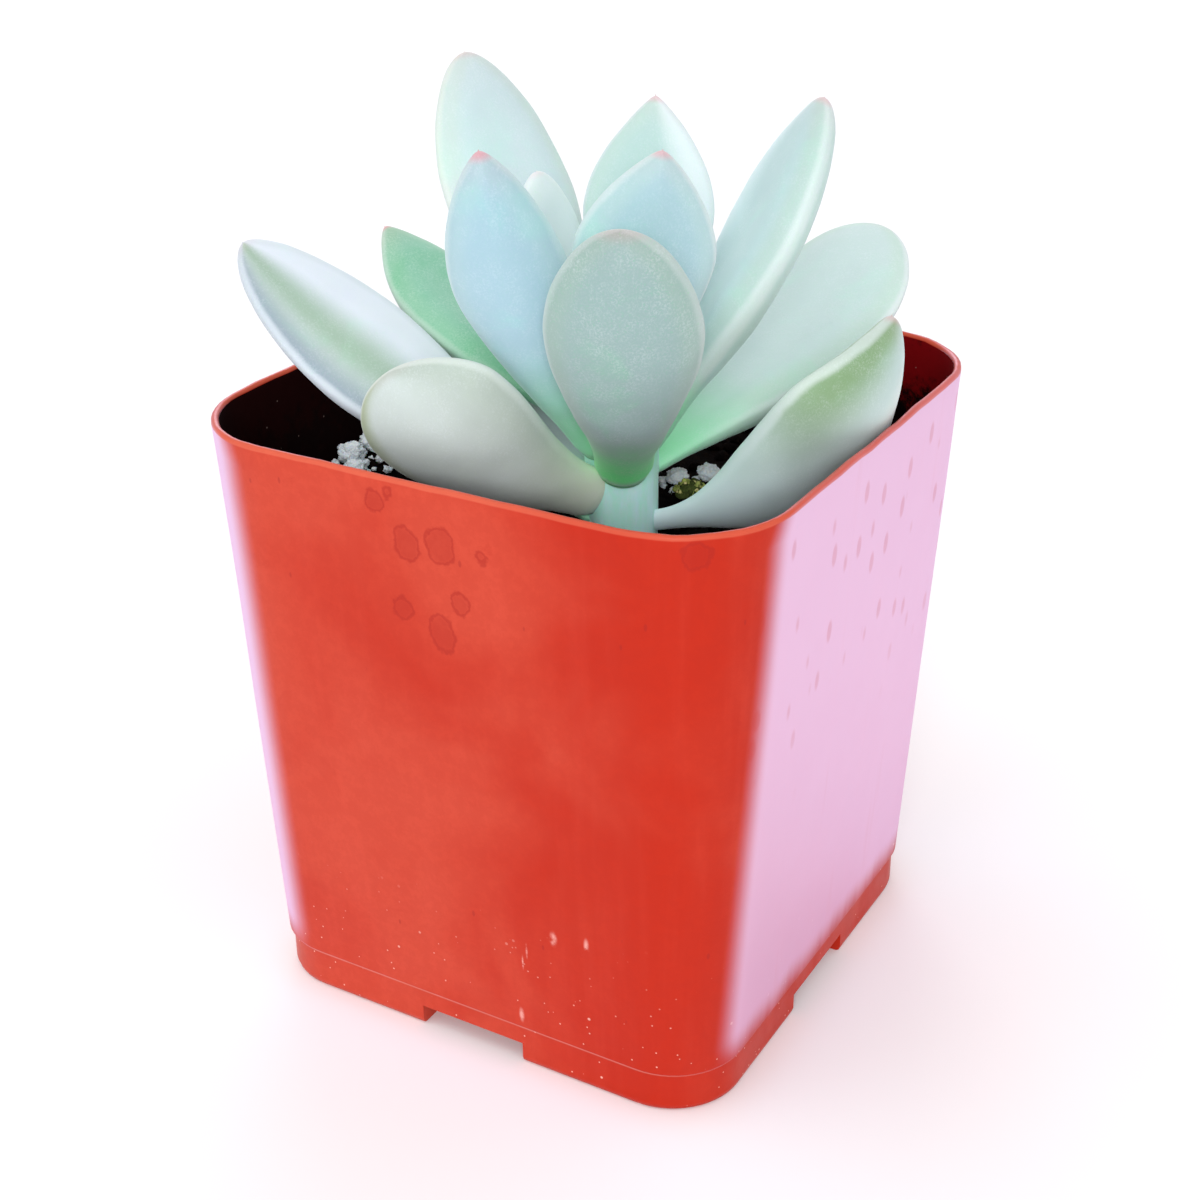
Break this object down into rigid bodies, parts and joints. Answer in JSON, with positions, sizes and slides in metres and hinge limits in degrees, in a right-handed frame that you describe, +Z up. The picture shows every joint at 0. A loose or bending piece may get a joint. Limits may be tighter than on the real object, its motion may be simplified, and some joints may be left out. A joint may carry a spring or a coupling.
{
  "type": "potted succulent",
  "caption": "Small rosette succulent with thick pale blue-green leaves, growing in soil in a square tapered plastic nursery pot with corner feet.",
  "frame": {"origin": "centre of the pot's base, on the surface it stands on", "axes": "+Z up, X and Y square to the pot's four faces, -Y the wide front face and +X the face to its right"},
  "size_m": [0.057, 0.057, 0.0887],
  "materials": {
    "pot_plastic": "satin injection moulded plastic, orange red, with water marks and fine scuffs",
    "potting_mix": "dark damp peat crumbs",
    "stem_skin": "smooth fleshy skin with a powdery bloom",
    "leaf_skin": "matte powdery bloom over pale blue green flesh, cream margins and pink tips",
    "perlite": "white porous grains",
    "moss": "olive brown fibrous crumb"
  },
  "bodies": {
    "root": {"pot": "pot_plastic", "soil": "potting_mix", "stem": "stem_skin", "leaf_front": "leaf_skin", "leaf_front_left": "leaf_skin", "leaf_left": "leaf_skin", "leaf_left_back": "leaf_skin", "leaf_back_left": "leaf_skin", "leaf_inner_left": "leaf_skin", "leaf_small_left": "leaf_skin", "leaf_inner_back": "leaf_skin", "leaf_inner_front": "leaf_skin", "leaf_right": "leaf_skin", "leaf_right_back": "leaf_skin", "leaf_right_front": "leaf_skin", "leaf_back": "leaf_skin", "leaf_back_right": "leaf_skin", "leaf_back_low": "leaf_skin", "leaf_inner_right": "leaf_skin", "bud_outer": "leaf_skin", "bud_inner": "leaf_skin", "perlite_1": "perlite", "perlite_2": "perlite", "perlite_3": "perlite", "perlite_4": "perlite", "perlite_5": "perlite", "perlite_6": "perlite", "perlite_7": "perlite", "perlite_8": "perlite", "moss_crumb": "moss"}
  },
  "joints": []
}
